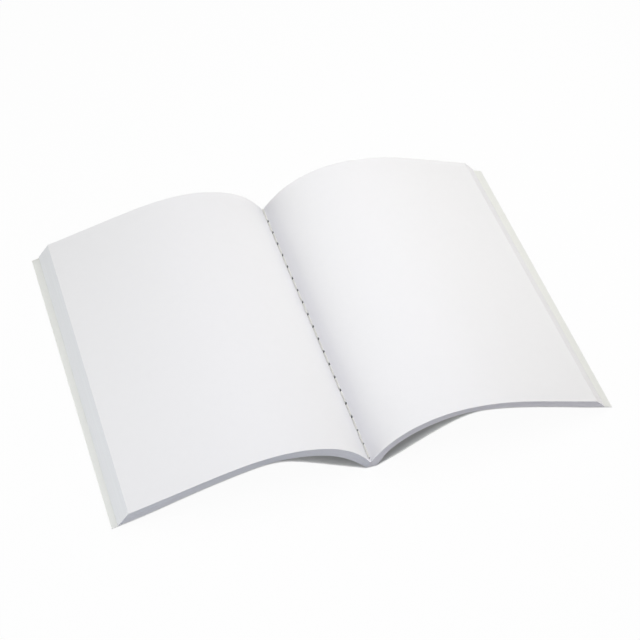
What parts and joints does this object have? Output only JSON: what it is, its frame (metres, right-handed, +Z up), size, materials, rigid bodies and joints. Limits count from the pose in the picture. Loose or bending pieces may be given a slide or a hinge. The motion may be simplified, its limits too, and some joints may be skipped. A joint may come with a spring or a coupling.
{
  "type": "open notebook",
  "caption": "Sewn notebook with blank pages and a soft card cover, lying open at its middle with both page stacks arched.",
  "frame": {"origin": "on the table, under the middle of the spine, halfway from tail to head", "axes": "+X across the spread towards the back cover's fore edge, +Y along the spine towards the head of the pages, +Z up from the table"},
  "size_m": [0.307, 0.21, 0.0355],
  "materials": {
    "page_paper": "smooth uncoated white paper",
    "cover_card": "uncoated pale grey-green card",
    "linen_thread": "twisted undyed thread"
  },
  "bodies": {
    "back_half": {"back_pages": "page_paper", "back_cover": "cover_card", "cover_spine": "cover_card", "sewing_thread": "linen_thread"},
    "front_half": {"front_pages": "page_paper", "front_cover": "cover_card"}
  },
  "joints": [
    {"name": "front_cover_hinge", "type": "hinge", "parent": "back_half", "child": "front_half", "pos_m": [-0.001, 0, 0.0052], "axis": [0, 1, 0], "range_deg": [0, 68]}
  ]
}
